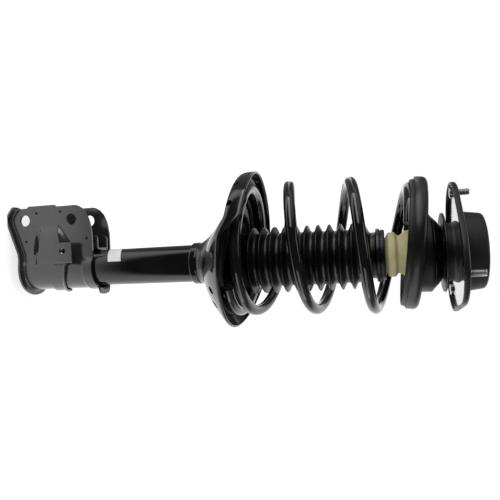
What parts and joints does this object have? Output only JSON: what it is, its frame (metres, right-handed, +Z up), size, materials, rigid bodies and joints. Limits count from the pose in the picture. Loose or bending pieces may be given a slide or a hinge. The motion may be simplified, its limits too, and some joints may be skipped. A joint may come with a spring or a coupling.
{
  "type": "strut assembly",
  "caption": "Suspension strut with a damper, a coil spring between a stamped bowl and a rubber-lined top seat, a studded top mount that swivels, and a clevis bracket for the knuckle.",
  "frame": {"origin": "on the strut's axis, at the mount plate's top face, in the middle of the stud circle", "axes": "+Z up along the strut to the top mount, +X towards the side on which the knuckle ears stand, +Y across the ears towards the hose tab"},
  "size_m": [0.192, 0.192, 0.5979],
  "materials": {
    "gloss_black": "gloss black dip paint",
    "satin_black": "satin black paint on pressed sheet",
    "spring_coat": "gloss black powder coat on spring wire",
    "mount_coat": "matt dark grey coat",
    "mount_rubber": "matt dark grey rubber",
    "boot_rubber": "satin black moulded rubber",
    "seal_rubber": "dark seal rubber",
    "urethane": "cream foamed urethane",
    "zinc": "bright zinc plate",
    "hard_chrome": "ground hard chrome",
    "bare_steel": "oiled steel",
    "bearing_steel": "ground bearing steel",
    "sintered": "sintered iron",
    "bush_bronze": "bronze-backed bush"
  },
  "bodies": {
    "top_mount": {"mount_plate": "mount_coat", "mount_studs": "zinc", "mount_cup": "mount_rubber", "mount_bushing": "mount_rubber", "mount_core": "bare_steel", "rebound_plate": "gloss_black", "bearing_outer_race": "bearing_steel", "bearing_circlip": "bare_steel"},
    "ball_set": {"bearing_balls": "bearing_steel", "bearing_cage": "bare_steel"},
    "rod": {"rod_nut": "zinc", "rod_washer": "zinc", "bearing_inner_race": "bearing_steel", "bearing_spacer": "bare_steel", "seat_seal": "boot_rubber", "upper_spring_seat": "mount_coat", "upper_insulator": "mount_rubber", "coil_spring": "spring_coat", "bump_stop": "urethane", "dust_boot": "boot_rubber", "piston_rod": "hard_chrome", "rebound_stop": "seal_rubber", "piston": "sintered", "piston_band": "seal_rubber", "piston_nut": "zinc"},
    "tube": {"strut_tube": "gloss_black", "bump_cap": "satin_black", "oil_seal": "seal_rubber", "rod_guide": "sintered", "guide_bush": "bush_bronze", "inner_cylinder": "bare_steel", "base_valve": "sintered", "base_cap": "satin_black", "lower_spring_seat": "gloss_black", "lower_insulator": "mount_rubber", "knuckle_bracket": "satin_black", "bracket_gusset": "satin_black", "hose_bracket": "satin_black", "hose_nut": "zinc"}
  },
  "joints": [
    {"name": "steer_swivel", "type": "hinge", "parent": "top_mount", "child": "rod", "pos_m": [0, 0, 0], "axis": [0, 0, 1], "range_deg": [-40, 40]},
    {"name": "ball_roll", "type": "hinge", "parent": "top_mount", "child": "ball_set", "pos_m": [0, 0, -0.005], "axis": [0, 0, 1], "range_deg": [-15, 15]},
    {"name": "strut_travel", "type": "slide", "parent": "rod", "child": "tube", "axis": [0, 0, 1], "range_m": [0, 0.09], "stiffness_N_per_m": 25000, "springref_m": -0.045, "deforming": ["coil_spring", "dust_boot"]}
  ],
  "couplings": [
    {"joint": "ball_roll", "follows": "steer_swivel", "ratio": 0.364}
  ]
}
